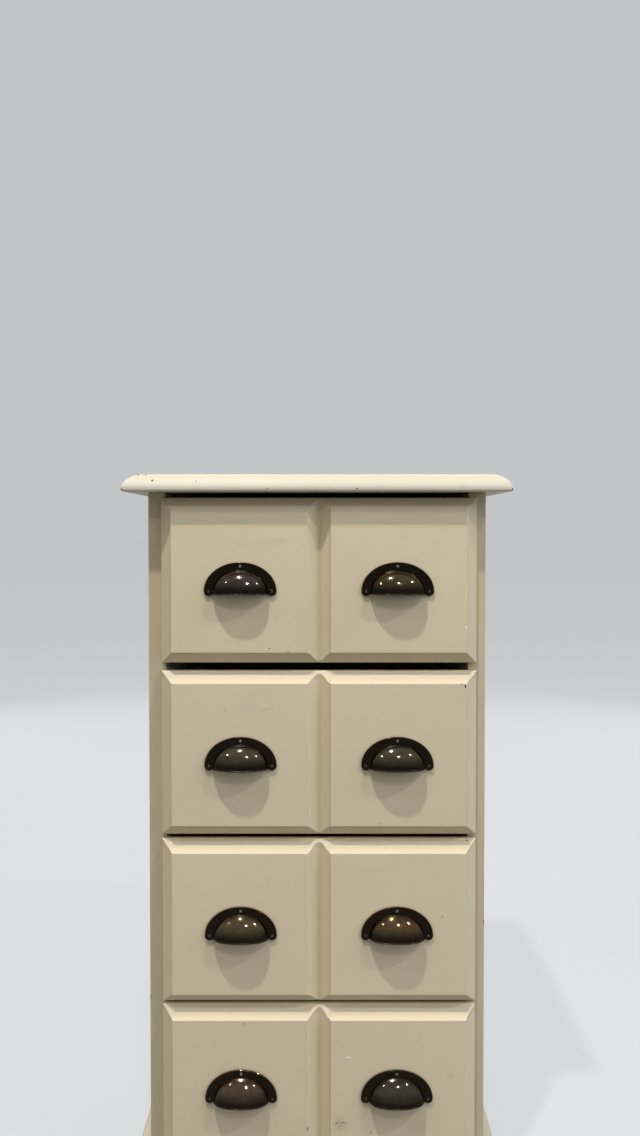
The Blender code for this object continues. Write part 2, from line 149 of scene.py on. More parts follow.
# Facets
ARC_STEPS = 20
ROUND_STEPS = 5
ARRIS_STEPS = 3
FRONT_ARRIS_STEPS = 2
CUP_SEGMENTS = 72
CUP_RINGS = 48
TUBE_SIDES = 14
TUBE_STEPS = 64
SCREW_SIDES = 24
CREASE_DEGREES = 32
BOARD_ARRIS = 0.0009
WELD = 0.00001

# Colours
# The fronts' paint gets lighter from drawer 1 down to drawer 4
FRONT_TONES = {
    1: (0.715, 0.606, 0.399),
    2: (0.740, 0.624, 0.418),
    3: (0.775, 0.648, 0.437),
    4: (0.785, 0.653, 0.440),
}
# Greyer than the fronts' paint: painted shade that tones down the brightly lit top, and the plinth shares
# it
TOP_TONE = (0.670, 0.608, 0.460)
# Darker and more saturated than the fronts' paint: partly the sides' own aged paint, partly painted shade
# for their recessed front edges
SIDE_TONE = (0.620, 0.518, 0.338)
# Dark specks of grime, and painted shade in corners and on a riser
GRIME_AND_SHADE = (0.250, 0.190, 0.110)
CHIP = (0.085, 0.060, 0.042)
# Scuffs, and painted shade on the fronts' upper bevels
SCUFF_AND_SHADE = (0.30, 0.27, 0.22)
WHITE = (1.0, 0.96, 0.86)
VALLEY_STAIN = (0.660, 0.540, 0.290)
PINE_PALE = (0.640, 0.450, 0.250)
PINE_DARK = (0.470, 0.285, 0.130)
PLY_PALE = (0.560, 0.400, 0.240)
PLY_DARK = (0.500, 0.345, 0.200)
PATINA = (0.0155, 0.0105, 0.0062)
# The crown screw's tone is lighter than the lobes' as a painted highlight
SCREW_TONES = {"crown": (0.22, 0.19, 0.16), "lobe": (0.08, 0.066, 0.052)}

# The rubbed metal of each drawer's left and right pull
RUBBED_TONES = {
    1: ((0.126, 0.096, 0.078), (0.142, 0.110, 0.057)),
    2: ((0.154, 0.121, 0.078), (0.144, 0.119, 0.078)),
    3: ((0.171, 0.130, 0.070), (0.173, 0.113, 0.056)),
    4: ((0.153, 0.108, 0.070), (0.118, 0.092, 0.068)),
}

# Growth rings: how far apart they are and how much they wander
PINE_RING = 0.007
PINE_WANDER = 5.0
PLY_RING = 0.018
PLY_WANDER = 26.0
WAVE_PHASE = 20.0

# Shifts that keep like pieces from sharing one pattern
TOP_SHIFT = 3.1
PLINTH_SHIFT = 0.7
FRONT_SHIFT = 1.7
SIDE_SHIFT = 5.3
BOX_SHIFT = 0.31
BACK_SHIFT = 0.23
SCREW_SHIFT = 0.4


def add_node(tree, kind, inputs=None, **settings):
    """A shader node with its settings, and with values or other nodes' sockets on its inputs."""
    node = tree.nodes.new(kind)
    for name, value in settings.items():
        setattr(node, name, value)
    for name, value in (inputs or {}).items():
        if isinstance(value, bpy.types.NodeSocket):
            tree.links.new(value, node.inputs[name])
        else:
            node.inputs[name].default_value = value
    return node


def new_material(name):
    material = bpy.data.materials.new(name)
    material.use_nodes = True
    tree = material.node_tree
    return material, tree, tree.nodes["Principled BSDF"]


def rgba(colour, factor=1.0):
    return (*(channel * factor for channel in colour), 1.0)


def coordinates(tree, shift=0.0, scale=(1.0, 1.0, 1.0)):
    """The piece's own coordinates, moved so that like pieces don't share one pattern."""
    source = add_node(tree, "ShaderNodeTexCoord").outputs["Object"]
    inputs = {"Vector": source, "Location": (shift, shift, shift), "Scale": scale}
    return add_node(tree, "ShaderNodeMapping", inputs).outputs["Vector"]


def noise(tree, vector, scale, detail=3.0, output="Fac"):
    inputs = {"Vector": vector, "Scale": scale, "Detail": detail}
    return add_node(tree, "ShaderNodeTexNoise", inputs).outputs[output]


def ranged(tree, value, source, target, smooth=False):
    """A value moved from one range to another, and held within it."""
    inputs = {
        "Value": value,
        "From Min": source[0],
        "From Max": source[1],
        "To Min": target[0],
        "To Max": target[1],
    }
    kind = "SMOOTHSTEP" if smooth else "LINEAR"
    return add_node(tree, "ShaderNodeMapRange", inputs, interpolation_type=kind).outputs["Result"]


def mixed(tree, factor, first, second):
    """One colour turning into another."""
    inputs = {0: factor, 6: first, 7: second}
    return add_node(tree, "ShaderNodeMix", inputs, data_type="RGBA").outputs[2]


def maths(tree, operation, first, second):
    return add_node(tree, "ShaderNodeMath", {0: first, 1: second}, operation=operation).outputs[0]


def bumped(tree, height, depth, strength, below=None):
    """A bump of that depth in metres, laid over another one."""
    inputs = {"Height": height, "Distance": depth, "Strength": strength}
    if below is not None:
        inputs["Normal"] = below
    return add_node(tree, "ShaderNodeBump", inputs).outputs["Normal"]


# A worn or stained patch: its tilt is as seen from the front, and solid is its share without a soft edge
Mark = namedtuple("Mark", "centre reach tilt solid strength colour")
MARK_DEPTH = 0.010
CHIP_DEPTH = 0.003
RAGGED_GRAIN = 900.0
RAGGED_REACH = 0.0016


def chip(x, y, z, width, height, tilt=0.0):
    return Mark((x, y, z), (width / 2, CHIP_DEPTH, height / 2), tilt, 0.75, 1.0, CHIP)


def smudge(x, y, z, width, height, tilt=0.0, strength=0.16, colour=SCUFF_AND_SHADE):
    return Mark((x, y, z), (width / 2, MARK_DEPTH, height / 2), tilt, 0.1, strength, colour)


def fleck(x, y, z, width, height, tilt=0.0):
    return Mark((x, y, z), (width / 2, MARK_DEPTH, height / 2), tilt, 0.5, 1.0, WHITE)


def marked(tree, colour, marks, shift):
    """The colour with its worn and stained patches, whose edges are ragged."""
    own = add_node(tree, "ShaderNodeTexCoord").outputs["Object"]
    rough = noise(tree, coordinates(tree, shift), RAGGED_GRAIN, 2.0, "Color")
    centred = add_node(
        tree, "ShaderNodeVectorMath", {0: rough, 1: (0.5, 0.5, 0.5)}, operation="SUBTRACT"
    )
    small = add_node(
        tree, "ShaderNodeVectorMath", {0: centred.outputs[0], "Scale": RAGGED_REACH}, operation="SCALE"
    )
    ragged = add_node(
        tree, "ShaderNodeVectorMath", {0: own, 1: small.outputs[0]}, operation="ADD"
    ).outputs[0]
    for mark in marks:
        inputs = {
            "Vector": ragged,
            "Location": mark.centre,
            "Rotation": (0.0, math.radians(-mark.tilt), 0.0),
            "Scale": mark.reach,
        }
        local = add_node(tree, "ShaderNodeMapping", inputs, vector_type="TEXTURE").outputs[0]
        away = add_node(tree, "ShaderNodeVectorMath", {0: local}, operation="LENGTH").outputs["Value"]
        factor = ranged(tree, away, (mark.solid, 1.0), (mark.strength, 0.0), smooth=True)
        colour = mixed(tree, factor, colour, rgba(mark.colour))
    return colour


def paint(name, grain, tone, marks=(), shift=0.0):
    """Brushed satin paint: strokes along the grain, a little uneven in tone, with painted shade in the
    corners.
    """
    material, tree, shader = new_material(name)
    cloud = noise(tree, coordinates(tree, shift), 7.0, 4.0)
    colour = mixed(tree, cloud, rgba(tone, 0.95), rgba(tone, 1.05))
    speckle = noise(tree, coordinates(tree, shift), 140.0, 3.0)
    stain = ranged(tree, speckle, (0.62, 0.80), (0.0, 0.10))
    colour = mixed(tree, stain, colour, rgba(GRIME_AND_SHADE))
    # Painted shade: darker in corners and creases, from ambient occlusion.
    openness = add_node(tree, "ShaderNodeAmbientOcclusion", {"Distance": 0.004}, samples=8)
    crevice_shade = ranged(tree, openness.outputs["AO"], (0.30, 0.85), (0.38, 0.0))
    colour = mixed(tree, crevice_shade, colour, rgba(GRIME_AND_SHADE))
    if marks:
        colour = marked(tree, colour, marks, shift)
    tree.links.new(colour, shader.inputs["Base Color"])

    stretch = [14.0 if axis == grain else 420.0 for axis in "xyz"]
    strokes = noise(tree, coordinates(tree, shift, stretch), 1.0, 3.0)
    peel = noise(tree, coordinates(tree, shift), 260.0, 2.0)
    surface = bumped(tree, strokes, 0.00012, 0.35)
    surface = bumped(tree, peel, 0.00025, 0.25, surface)
    tree.links.new(surface, shader.inputs["Normal"])
    tree.links.new(ranged(tree, strokes, (0.3, 0.7), (0.48, 0.58)), shader.inputs["Roughness"])
    shader.inputs["Specular IOR Level"].default_value = 0.3
    return material


def timber(name, grain, pale, dark, ring=PINE_RING, wander=PINE_WANDER, shift=0.0):
    """Planed wood: growth rings drawn out along the grain, with fine fibres."""
    material, tree, shader = new_material(name)
    stretch = [0.10 if axis == grain else 1.0 for axis in "xyz"]
    drawn_out = coordinates(tree, shift, stretch)
    across = "Y" if grain == "x" else "X"
    inputs = {
        "Vector": drawn_out,
        "Scale": math.tau / (WAVE_PHASE * ring),
        "Distortion": wander,
        "Detail": 2.0,
        "Detail Scale": 0.6,
    }
    rings = add_node(
        tree, "ShaderNodeTexWave", inputs, bands_direction=across, wave_profile="SAW"
    ).outputs["Fac"]
    fibre_stretch = [25.0 if axis == grain else 900.0 for axis in "xyz"]
    fibres = noise(tree, coordinates(tree, shift, fibre_stretch), 1.0, 3.0)
    cloud = noise(tree, coordinates(tree, shift), 6.0, 3.0)
    colour = mixed(tree, ranged(tree, rings, (0.35, 1.0), (0.0, 0.85)), rgba(pale), rgba(dark))
    colour = mixed(tree, ranged(tree, fibres, (0.45, 0.75), (0.0, 0.35)), colour, rgba(dark, 0.8))
    colour = mixed(tree, ranged(tree, cloud, (0.4, 0.7), (0.0, 0.25)), colour, rgba(pale, 0.8))
    tree.links.new(colour, shader.inputs["Base Color"])
    tree.links.new(ranged(tree, fibres, (0.3, 0.7), (0.55, 0.75)), shader.inputs["Roughness"])
    tree.links.new(bumped(tree, fibres, 0.0002, 0.3), shader.inputs["Normal"])
    return material


def bronze(name, patina, rubbed, shift):
    """Dark bronze, rubbed lighter on the swell of the cup, kept dark low down as a painted reflection,
    with painted highlights along the rim's lip and the edges of the flange.
    """
    material, tree, shader = new_material(name)
    own = add_node(tree, "ShaderNodeTexCoord").outputs["Object"]
    axes = add_node(tree, "ShaderNodeSeparateXYZ", {0: own}).outputs
    swell = ranged(tree, axes["Y"], (-FLANGE_THICKNESS, -0.45 * CUP_PROJECTION), (0.0, 1.0))
    # Painted reflection: low on the cup the bronze stays dark and higher up it turns lighter, as if it
    # mirrored a dark floor.
    upper = ranged(tree, axes["Z"], (CUP_FOOT, CUP_SHEEN_HEIGHT), (0.0, 1.0), smooth=True)
    # Painted highlight: a lighter line along the rim's lip.
    rim = ranged(tree, axes["Z"], (0.25 * CUP_FOOT, 0.5 * CUP_FOOT), (0.2, 0.0))
    mottle = noise(tree, coordinates(tree, shift), 130.0, 4.0)
    wear_and_sheen = maths(tree, "MULTIPLY", swell, ranged(tree, mottle, (0.3, 0.7), (0.6, 1.0)))
    wear_and_sheen = maths(tree, "MULTIPLY", wear_and_sheen, maths(tree, "MAXIMUM", upper, rim))
    # Painted highlight: the flange's edges, where they turn away from the front, are lighter, as if
    # catching light from above.
    normal = add_node(tree, "ShaderNodeNewGeometry").outputs["Normal"]
    forward = add_node(tree, "ShaderNodeSeparateXYZ", {0: normal}).outputs["Y"]
    arris = ranged(tree, forward, (-0.95, -0.5), (0.0, 1.0))
    flange = ranged(tree, axes["Y"], (-1.05 * FLANGE_THICKNESS, -FLANGE_THICKNESS), (0.0, 1.0))
    wear_and_sheen = maths(tree, "MAXIMUM", wear_and_sheen, maths(tree, "MULTIPLY", arris, flange))
    tree.links.new(mixed(tree, wear_and_sheen, rgba(patina), rgba(rubbed)), shader.inputs["Base Color"])
    tree.links.new(ranged(tree, wear_and_sheen, (0.0, 0.5), (0.32, 0.08)), shader.inputs["Roughness"])
    grain = noise(tree, coordinates(tree, shift), 420.0, 3.0)
    tree.links.new(bumped(tree, grain, 0.0005, 0.08), shader.inputs["Normal"])
    shader.inputs["Metallic"].default_value = 1.0
    return material


def shown_tone(tree):
    """1 for the rays that show the backdrop itself, straight on or in a reflection, and 0 for the rest."""
    path = add_node(tree, "ShaderNodeLightPath").outputs
    mirrored = maths(tree, "MAXIMUM", path["Is Glossy Ray"], path["Is Transmission Ray"])
    return maths(tree, "MAXIMUM", path["Is Camera Ray"], mirrored)


def mix_shaders(tree, factor, first, second, output):
    mix = add_node(tree, "ShaderNodeMixShader", {0: factor, 1: first, 2: second})
    tree.links.new(mix.outputs[0], output)


def build_stage():
    """A wide pale floor and a backdrop, whose tones meet far off, where only the ambient light is."""
    bm = bmesh.new()
    bmesh.ops.create_circle(bm, cap_ends=True, segments=FLOOR_SIDES, radius=FLOOR_RADIUS)
    mesh = bpy.data.meshes.new("floor")
    bm.to_mesh(mesh)
    bm.free()
    floor = bpy.data.objects.new("floor", mesh)
    bpy.context.scene.collection.objects.link(floor)
    material, tree, shader = new_material("pale_floor")
    tree.nodes.remove(shader)
    matt = add_node(tree, "ShaderNodeBsdfDiffuse", {"Color": rgba(FLOOR_TONE)}).outputs[0]
    far = [back - tone * level for back, tone, level in zip(BACKDROP, FLOOR_TONE, AMBIENT)]
    glow = add_node(tree, "ShaderNodeEmission", {"Color": rgba(far)}).outputs[0]
    seen = add_node(tree, "ShaderNodeAddShader", {0: matt, 1: glow}).outputs[0]
    surface = tree.nodes["Material Output"].inputs["Surface"]
    mix_shaders(tree, shown_tone(tree), matt, seen, surface)
    mesh.materials.append(material)

    world = bpy.data.worlds.new("studio")
    world.use_nodes = True
    tree = world.node_tree
    tree.nodes.remove(tree.nodes["Background"])
    ambient = add_node(tree, "ShaderNodeBackground", {"Color": rgba(AMBIENT)})
    backdrop = add_node(tree, "ShaderNodeBackground", {"Color": rgba(BACKDROP)})
    surface = tree.nodes["World Output"].inputs["Surface"]
    mix_shaders(tree, shown_tone(tree), ambient.outputs[0], backdrop.outputs[0], surface)
    bpy.context.scene.world = world


def hang(name, light, lamp):
    """A light put in its place and turned to the chest. Returns its distance."""
    light.color = lamp.colour
    fixture = bpy.data.objects.new(name, light)
    fixture.visible_glossy = name not in UNMIRRORED
    fixture.location = lamp.place
    away = Vector(lamp.place) - Vector(LIT_POINT)
    fixture.rotation_mode = "QUATERNION"
    fixture.rotation_quaternion = away.to_track_quat("Z", "Y")
    bpy.context.scene.collection.objects.link(fixture)
    return away.length


def build_lamps():
    """A level of 1 shows a colour as it is written, so each lamp's power follows from its distance."""
    for name, lamp in LAMPS.items():
        light = bpy.data.lights.new(name, "POINT")
        light.shadow_soft_size = LAMP_RADIUS
        light.energy = lamp.level * 4 * math.pi**2 * hang(name, light, lamp) ** 2
    for name, lamp in SOFTBOXES.items():
        light = bpy.data.lights.new(name, "AREA")
        light.shape = "DISK"
        light.size = SOFTBOX_SIZE
        light.energy = lamp.level * math.pi**2 * hang(name, light, lamp) ** 2


def build_camera():
    data = bpy.data.cameras.new("camera")
    data.lens = LENS
    data.sensor_width = SENSOR
    data.shift_y = CAMERA_SHIFT
    camera = bpy.data.objects.new("camera", data)
    camera.location = CAMERA_PLACE
    camera.rotation_euler = (math.radians(90.0 + CAMERA_TILT), 0.0, 0.0)
    bpy.context.scene.collection.objects.link(camera)
    bpy.context.scene.camera = camera


def evaluated_mesh(piece):
    bpy.context.view_layer.update()
    graph = bpy.context.evaluated_depsgraph_get()
    return bpy.data.meshes.new_from_object(piece.evaluated_get(graph))


def helper(mesh):
    piece = bpy.data.objects.new("helper", mesh)
    bpy.context.scene.collection.objects.link(piece)
    return piece


def combined(mesh, tools, operation="DIFFERENCE"):
    """The mesh after a Boolean with each of the tool meshes."""
    blank = helper(mesh)
    cutters = [helper(tool) for tool in tools]
    for cutter in cutters:
        modifier = blank.modifiers.new("boolean", "BOOLEAN")
        modifier.operation = operation
        modifier.object = cutter
    result = evaluated_mesh(blank)
    for spent in [blank, *cutters]:
        bpy.data.objects.remove(spent)
    return result


def ease_edges(piece, width, steps=ARRIS_STEPS, degrees=CREASE_DEGREES):
    """A modifier that rounds the piece's sharp edges."""
    bevel = piece.modifiers.new("arris", "BEVEL")
    bevel.width = width
    bevel.segments = steps
    bevel.limit_method = "ANGLE"
    bevel.angle_limit = math.radians(degrees)


def softened(mesh, width, **options):
    """The mesh with its sharp edges rounded."""
    blank = helper(mesh)
    ease_edges(blank, width, **options)
    result = evaluated_mesh(blank)
    bpy.data.objects.remove(blank)
    return result


def shaded(mesh):
    mesh.shade_smooth()
    mesh.set_sharp_from_angle(angle=math.radians(CREASE_DEGREES))
    return mesh


def lofted(loops):
    """A closed skin through loops of equally many points."""
    bm = bmesh.new()
    rings = [[bm.verts.new(point) for point in loop] for loop in loops]
    for lower, upper in zip(rings, rings[1:]):
        for index, corner in enumerate(lower):
            after = (index + 1) % len(lower)
            bm.faces.new((corner, lower[after], upper[after], upper[index]))
    bm.faces.new(rings[0][::-1])
    bm.faces.new(rings[-1])
    bmesh.ops.recalc_face_normals(bm, faces=bm.faces)
    mesh = bpy.data.meshes.new("loft")
    bm.to_mesh(mesh)
    bm.free()
    return mesh


def block(low, high):
    """A rectangular board between two corners."""
    corners = [(low[0], low[1]), (high[0], low[1]), (high[0], high[1]), (low[0], high[1])]
    return lofted([[(x, y, z) for x, y in corners] for z in (low[2], high[2])])


def arc(centre, radii, start, end, steps=ARC_STEPS):
    """Points round part of an ellipse, both ends included, with angles in degrees from the first axis."""
    points = []
    for step in range(steps + 1):
        angle = math.radians(start + (end - start) * step / steps)
        points.append(
            (centre[0] + radii[0] * math.cos(angle), centre[1] + radii[1] * math.sin(angle))
        )
    return points


def swelled(x, y, fullness):
    """A point of the unit circle moved onto a curve that is fuller above 2 and flatter below."""
    size = (abs(x) ** fullness + abs(y) ** fullness) ** (1 / fullness)
    return x / size, y / size


def rounded(corners):
    """An open outline through corners given as x, y and the radius that rounds each."""
    spots = [Vector(corner[:2]) for corner in corners]
    outline = [tuple(spots[0])]
    for index in range(1, len(corners) - 1):
        spot, radius = spots[index], corners[index][2]
        back = (spots[index - 1] - spot).normalized()
        ahead = (spots[index + 1] - spot).normalized()
        half = back.angle(ahead) / 2
        middle = spot + (back + ahead).normalized() * (radius / math.sin(half))
        start = spot + back * (radius / math.tan(half)) - middle
        sweep = start.angle_signed(spot + ahead * (radius / math.tan(half)) - middle)
        for step in range(ROUND_STEPS + 1):
            turn = Matrix.Rotation(-sweep * step / ROUND_STEPS, 2)
            outline.append(tuple(middle + turn @ start))
    outline.append(tuple(spots[-1]))
    return outline


def place(name, mesh, material, body, location=(0.0, 0.0, 0.0)):
    """A piece that shares the mesh, in its own finish, riding on a body."""
    piece = bpy.data.objects.new(name, mesh)
    if not mesh.materials:
        mesh.materials.append(None)
    bpy.context.scene.collection.objects.link(piece)
    piece.material_slots[0].link = "OBJECT"
    piece.material_slots[0].material = material
    piece.location = location
    piece.modifiers.new("even_normals", "WEIGHTED_NORMAL").keep_sharp = True
    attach(piece, body)
    return piece


def dress(node, material):
    """A CAD board kept as it is, with its arrises eased and its finish on."""
    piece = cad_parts[node]
    piece.data.materials.clear()
    piece.data.materials.append(material)
    piece.data.shade_smooth()
    weld = piece.modifiers.new("weld", "WELD")
    weld.merge_threshold = WELD
    ease_edges(piece, BOARD_ARRIS)
    piece.modifiers.new("even_normals", "WEIGHTED_NORMAL").keep_sharp = True


def top_board_mesh():
    low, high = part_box("top_board")
    nose = high.z - low.z - TOP_MOULDING_HEIGHT
    corner = (TOP_LOWER_ROUND, TOP_LOWER_ROUND)
    profile = arc(corner, corner, 270, 180, ROUND_STEPS)
    for point in arc((0.0, 0.0), (1.0, 1.0), 180, 90):
        across, up = swelled(*point, TOP_FULLNESS)
        profile.append((TOP_MOULDING_WIDTH * (1 + across), nose + TOP_MOULDING_HEIGHT * up))
    loops = []
    for inset, height in profile:
        left, right, front = low.x + inset, high.x - inset, low.y + inset
        z = low.z + height
        loops.append([(left, front, z), (right, front, z), (right, high.y, z), (left, high.y, z)])
    return shaded(softened(lofted(loops), TOP_ARRIS))


def nosing(z):
    """How far forward the top's moulding is at that height."""
    low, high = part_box("top_board")
    rise = max(0.0, 1 - (high.z - z) / TOP_MOULDING_HEIGHT)
    return low.y + TOP_MOULDING_WIDTH * (1 - (1 - rise**TOP_FULLNESS) ** (1 / TOP_FULLNESS))


def on_nosing(kind, x, z, *form):
    """A mark on the face of the top's moulding."""
    return kind(x, nosing(z), z, *form)


def build_top():
    marks = [
        on_nosing(chip, -0.2232, 0.9608, 0.0030, 0.0028),
        on_nosing(chip, -0.2135, 0.9605, 0.0032, 0.0018),
        on_nosing(chip, -0.2032, 0.9532, 0.0042, 0.0026, 25),
        on_nosing(chip, -0.1490, 0.9525, 0.0018, 0.0022),
        on_nosing(chip, -0.0605, 0.9430, 0.0036, 0.0012),
        on_nosing(chip, 0.0495, 0.9432, 0.0024, 0.0024),
        on_nosing(chip, -0.2418, 0.9420, 0.0040, 0.0050, 30),
        on_nosing(chip, 0.2412, 0.9420, 0.0036, 0.0044, -30),
        on_nosing(smudge, 0.0800, 0.9450, 0.0200, 0.0050),
        on_nosing(smudge, 0.1800, 0.9460, 0.0300, 0.0060),
    ]
    material = paint("top_paint", "x", TOP_TONE, marks, TOP_SHIFT)
    top = place("top_board_moulded", top_board_mesh(), material, "carcass")
    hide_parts("top_board")


def plinth_profile(depth, height):
    """The plinth in section: outward from the carcass, then up."""
    shoulder = height - PLINTH_QUIRK - PLINTH_SHOULDER_HEIGHT
    swell = (PLINTH_SHOULDER_WIDTH, PLINTH_SHOULDER_HEIGHT)
    profile = [(0.0, 0.0), (depth, 0.0)]
    profile += arc((PLINTH_LEDGE, shoulder), swell, 0, 90)
    return profile + [(PLINTH_LEDGE, height), (0.0, height)]


def build_plinth():
    side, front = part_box("side_left"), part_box("plinth_front")
    depth = side[0].y - FIT - front[0].y
    profile = plinth_profile(depth, front[1].z)
    edges = {hand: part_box(f"plinth_{hand}") for hand in HANDS}
    inner = {"left": edges["left"][0].x + depth, "right": edges["right"][1].x - depth}
    reach = {"left": -1.0, "right": 1.0}
    foot = side[0].y - FIT
    runs = {"front": []}
    for hand in HANDS:
        corner = side[0].x if hand == "left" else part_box("side_right")[1].x
        runs["front"].append([(corner + reach[hand] * out, foot - out, up) for out, up in profile])
        mitre = [(inner[hand] + reach[hand] * out, side[0].y - out, up) for out, up in profile]
        square = [(inner[hand] + reach[hand] * out, side[1].y, up) for out, up in profile]
        runs[hand] = [mitre, square]
    grains = {"front": "x", "left": "y", "right": "y"}
    for number, (label, loops) in enumerate(runs.items()):
        mesh = shaded(softened(lofted(loops), PLINTH_ARRIS))
        material = paint(f"plinth_paint_{label}", grains[label], TOP_TONE, shift=number + PLINTH_SHIFT)
        run = place(f"plinth_{label}_moulded", mesh, material, "carcass")
        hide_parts(f"plinth_{label}")


def groove_mesh(thickness, height):
    """The cutter for the upright groove: risers at its mouth, sloping walls and a round valley."""
    half = GROOVE_WIDTH / 2
    flare = 2 * CUT_MARGIN * math.tan(math.radians(GROOVE_FLARE))
    wall = half - RISER_WIDTH
    fall = wall * math.tan(math.radians(GROOVE_PITCH))
    corners = [
        (-half - 2 * CUT_MARGIN, -thickness - flare, 0.0),
        (-half, -thickness, FIELD_ROUND),
        (-wall, -thickness + GROOVE_RISER, QUIRK_ROUND),
        (0.0, -thickness + GROOVE_RISER + fall, GROOVE_ROUND),
        (wall, -thickness + GROOVE_RISER, QUIRK_ROUND),
        (half, -thickness, FIELD_ROUND),
        (half + 2 * CUT_MARGIN, -thickness - flare, 0.0),
    ]
    outline = rounded(corners)
    loops = [[(x, y, z) for x, y in outline] for z in (-CUT_MARGIN, height + CUT_MARGIN)]
    return lofted(loops)


def front_mesh():
    """A drawer front from the middle of its lower rear edge, with its housings cut behind."""
    low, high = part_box("drawer_1_front")
    origin = Vector(((low.x + high.x) / 2, high.y, low.z))
    half, thickness, height = (high.x - low.x) / 2, high.y - low.y, high.z - low.z
    profile = rounded(
        [
            (0.0, 0.0, 0.0),
            (0.0, FRONT_LIP, LIP_ROUND),
            (BEVEL_WIDTH - RISER_WIDTH, thickness - RISER_HEIGHT, QUIRK_ROUND),
            (BEVEL_WIDTH, thickness, FIELD_ROUND),
            (BEVEL_WIDTH + FIELD_MARGIN, thickness, 0.0),
        ]
    )
    loops = []
    for inset, rise in profile:
        left, right = inset - half, half - inset
        foot, head = inset, height - inset
        ring = [(left, foot), (right, foot), (right, head), (left, head)]
        loops.append([(x, -rise, z) for x, z in ring])
    tools = [groove_mesh(thickness, height)]
    ease = Vector((FIT, FIT, FIT))
    for part in ("side_left", "side_right", "bottom"):
        part_low, part_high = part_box(f"drawer_1_{part}")
        end = Vector((part_high.x, high.y + CUT_MARGIN, part_high.z))
        tools.append(block(part_low - ease - origin, end + ease - origin))
    return shaded(softened(combined(lofted(loops), tools), FRONT_ARRIS, steps=FRONT_ARRIS_STEPS))


# Where the marks lie on a front, ahead of its rear face
FIELD_FACE = -0.020
RISER_FACE = -0.0183
BEVEL_FACE = -0.0105
VALLEY_FACE = -0.0087

FRONT_MARKS = {
    1: [
        chip(-0.0620, FIELD_FACE, 0.0200, 0.0030, 0.0014),
        chip(-0.0385, FIELD_FACE, 0.0150, 0.0022, 0.0012),
        smudge(-0.0560, FIELD_FACE, 0.1540, 0.0640, 0.0140, 4, 0.10),
        smudge(-0.0950, FIELD_FACE, 0.1500, 0.0300, 0.0090, -3, 0.07),
        smudge(-0.0950, FIELD_FACE, 0.1690, 0.0090, 0.0007, -60, 0.35),
        smudge(-0.0920, FIELD_FACE, 0.0280, 0.0020, 0.0012, 30, 0.50),
        smudge(-0.1450, FIELD_FACE, 0.0600, 0.0600, 0.0500, 0, 0.06),
        fleck(0.1848, FIELD_FACE, 0.0466, 0.0026, 0.0034),
    ],
    2: [
        chip(0.1838, -0.019, 0.1915, 0.0024, 0.0056, 8),
        chip(0.1795, FIELD_FACE, 0.1940, 0.0026, 0.0012),
        chip(0.0780, FIELD_FACE, 0.0175, 0.0024, 0.0010),
        smudge(-0.1180, FIELD_FACE, 0.1610, 0.0230, 0.0014, -70, 0.42),
        smudge(-0.0690, FIELD_FACE, 0.1610, 0.0380, 0.0014, 20, 0.40),
        smudge(-0.0900, FIELD_FACE, 0.1640, 0.0300, 0.0200, 0, 0.10),
    ],
    3: [
        chip(0.1886, -0.0070, 0.2070, 0.0028, 0.0020),
        chip(0.1557, FIELD_FACE, 0.1147, 0.0018, 0.0014),
        smudge(0.1810, BEVEL_FACE, 0.2066, 0.0150, 0.0024, 0, 0.55),
        smudge(-0.1618, BEVEL_FACE, 0.2060, 0.0040, 0.0018, 0, 0.60),
        smudge(-0.0644, FIELD_FACE, 0.1596, 0.0100, 0.0120, 20, 0.10),
        smudge(0.0700, FIELD_FACE, 0.1750, 0.0700, 0.0140, 5, 0.05),
        fleck(0.1872, FIELD_FACE, 0.0509, 0.0026, 0.0024),
    ],
    4: [
        chip(-0.0144, FIELD_FACE, 0.0553, 0.0022, 0.0044),
        chip(-0.0959, FIELD_FACE, 0.1907, 0.0014, 0.0020),
        fleck(0.0373, FIELD_FACE, 0.1476, 0.0090, 0.0028, -14),
        smudge(0.0270, FIELD_FACE, 0.0620, 0.0280, 0.0300, 30, 0.26),
        smudge(0.0228, FIELD_FACE, 0.0630, 0.0066, 0.0034, 35, 0.70, CHIP),
        smudge(0.0300, FIELD_FACE, 0.0636, 0.0130, 0.0028, -6, 0.65, CHIP),
        smudge(0.0262, FIELD_FACE, 0.0580, 0.0100, 0.0020, 48, 0.35, CHIP),
        smudge(0.0656, FIELD_FACE, 0.0510, 0.0016, 0.0076, 4, 0.75, CHIP),
        smudge(-0.0566, FIELD_FACE, 0.1782, 0.0120, 0.0026, 8, 0.20),
        smudge(-0.1337, FIELD_FACE, 0.1631, 0.0180, 0.0012, -72, 0.22),
        smudge(0.1659, FIELD_FACE, 0.1238, 0.0140, 0.0100, 25, 0.12),
    ],
}


def front_marks(number, height):
    """The stain along a front's groove, painted shade on its upper bevel and on one riser, and its own
    marks.
    """
    stain = Mark((0.0, VALLEY_FACE, height / 2), (0.0052, 0.008, height), 0.0, 0.5, 0.32, VALLEY_STAIN)
    # Painted shade: the upper bevel toned down where the lamps light it most.
    bevel_shade = Mark((0.0, BEVEL_FACE, height - 0.0055), (0.5, MARK_DEPTH, 0.0066), 0.0, 0.6, 0.16, SCUFF_AND_SHADE)
    # Painted shade: a dark line along the groove's right-hand riser.
    riser = Mark((0.0139, RISER_FACE, height / 2), (0.0012, MARK_DEPTH, height), 0.0, 0.5, 0.28, GRIME_AND_SHADE)
    return [stain, bevel_shade, riser, *FRONT_MARKS[number]]


def build_fronts():
    mesh = front_mesh()
    for number in DRAWERS:
        node = f"drawer_{number}_front"
        low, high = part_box(node)
        marks = front_marks(number, high.z - low.z)
        material = paint(f"front_paint_{number}", "x", FRONT_TONES[number], marks, FRONT_SHIFT * number)
        spot = ((low.x + high.x) / 2, high.y, low.z)
        front = place(f"{node}_fielded", mesh, material, f"drawer_{number}", spot)
        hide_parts(node)


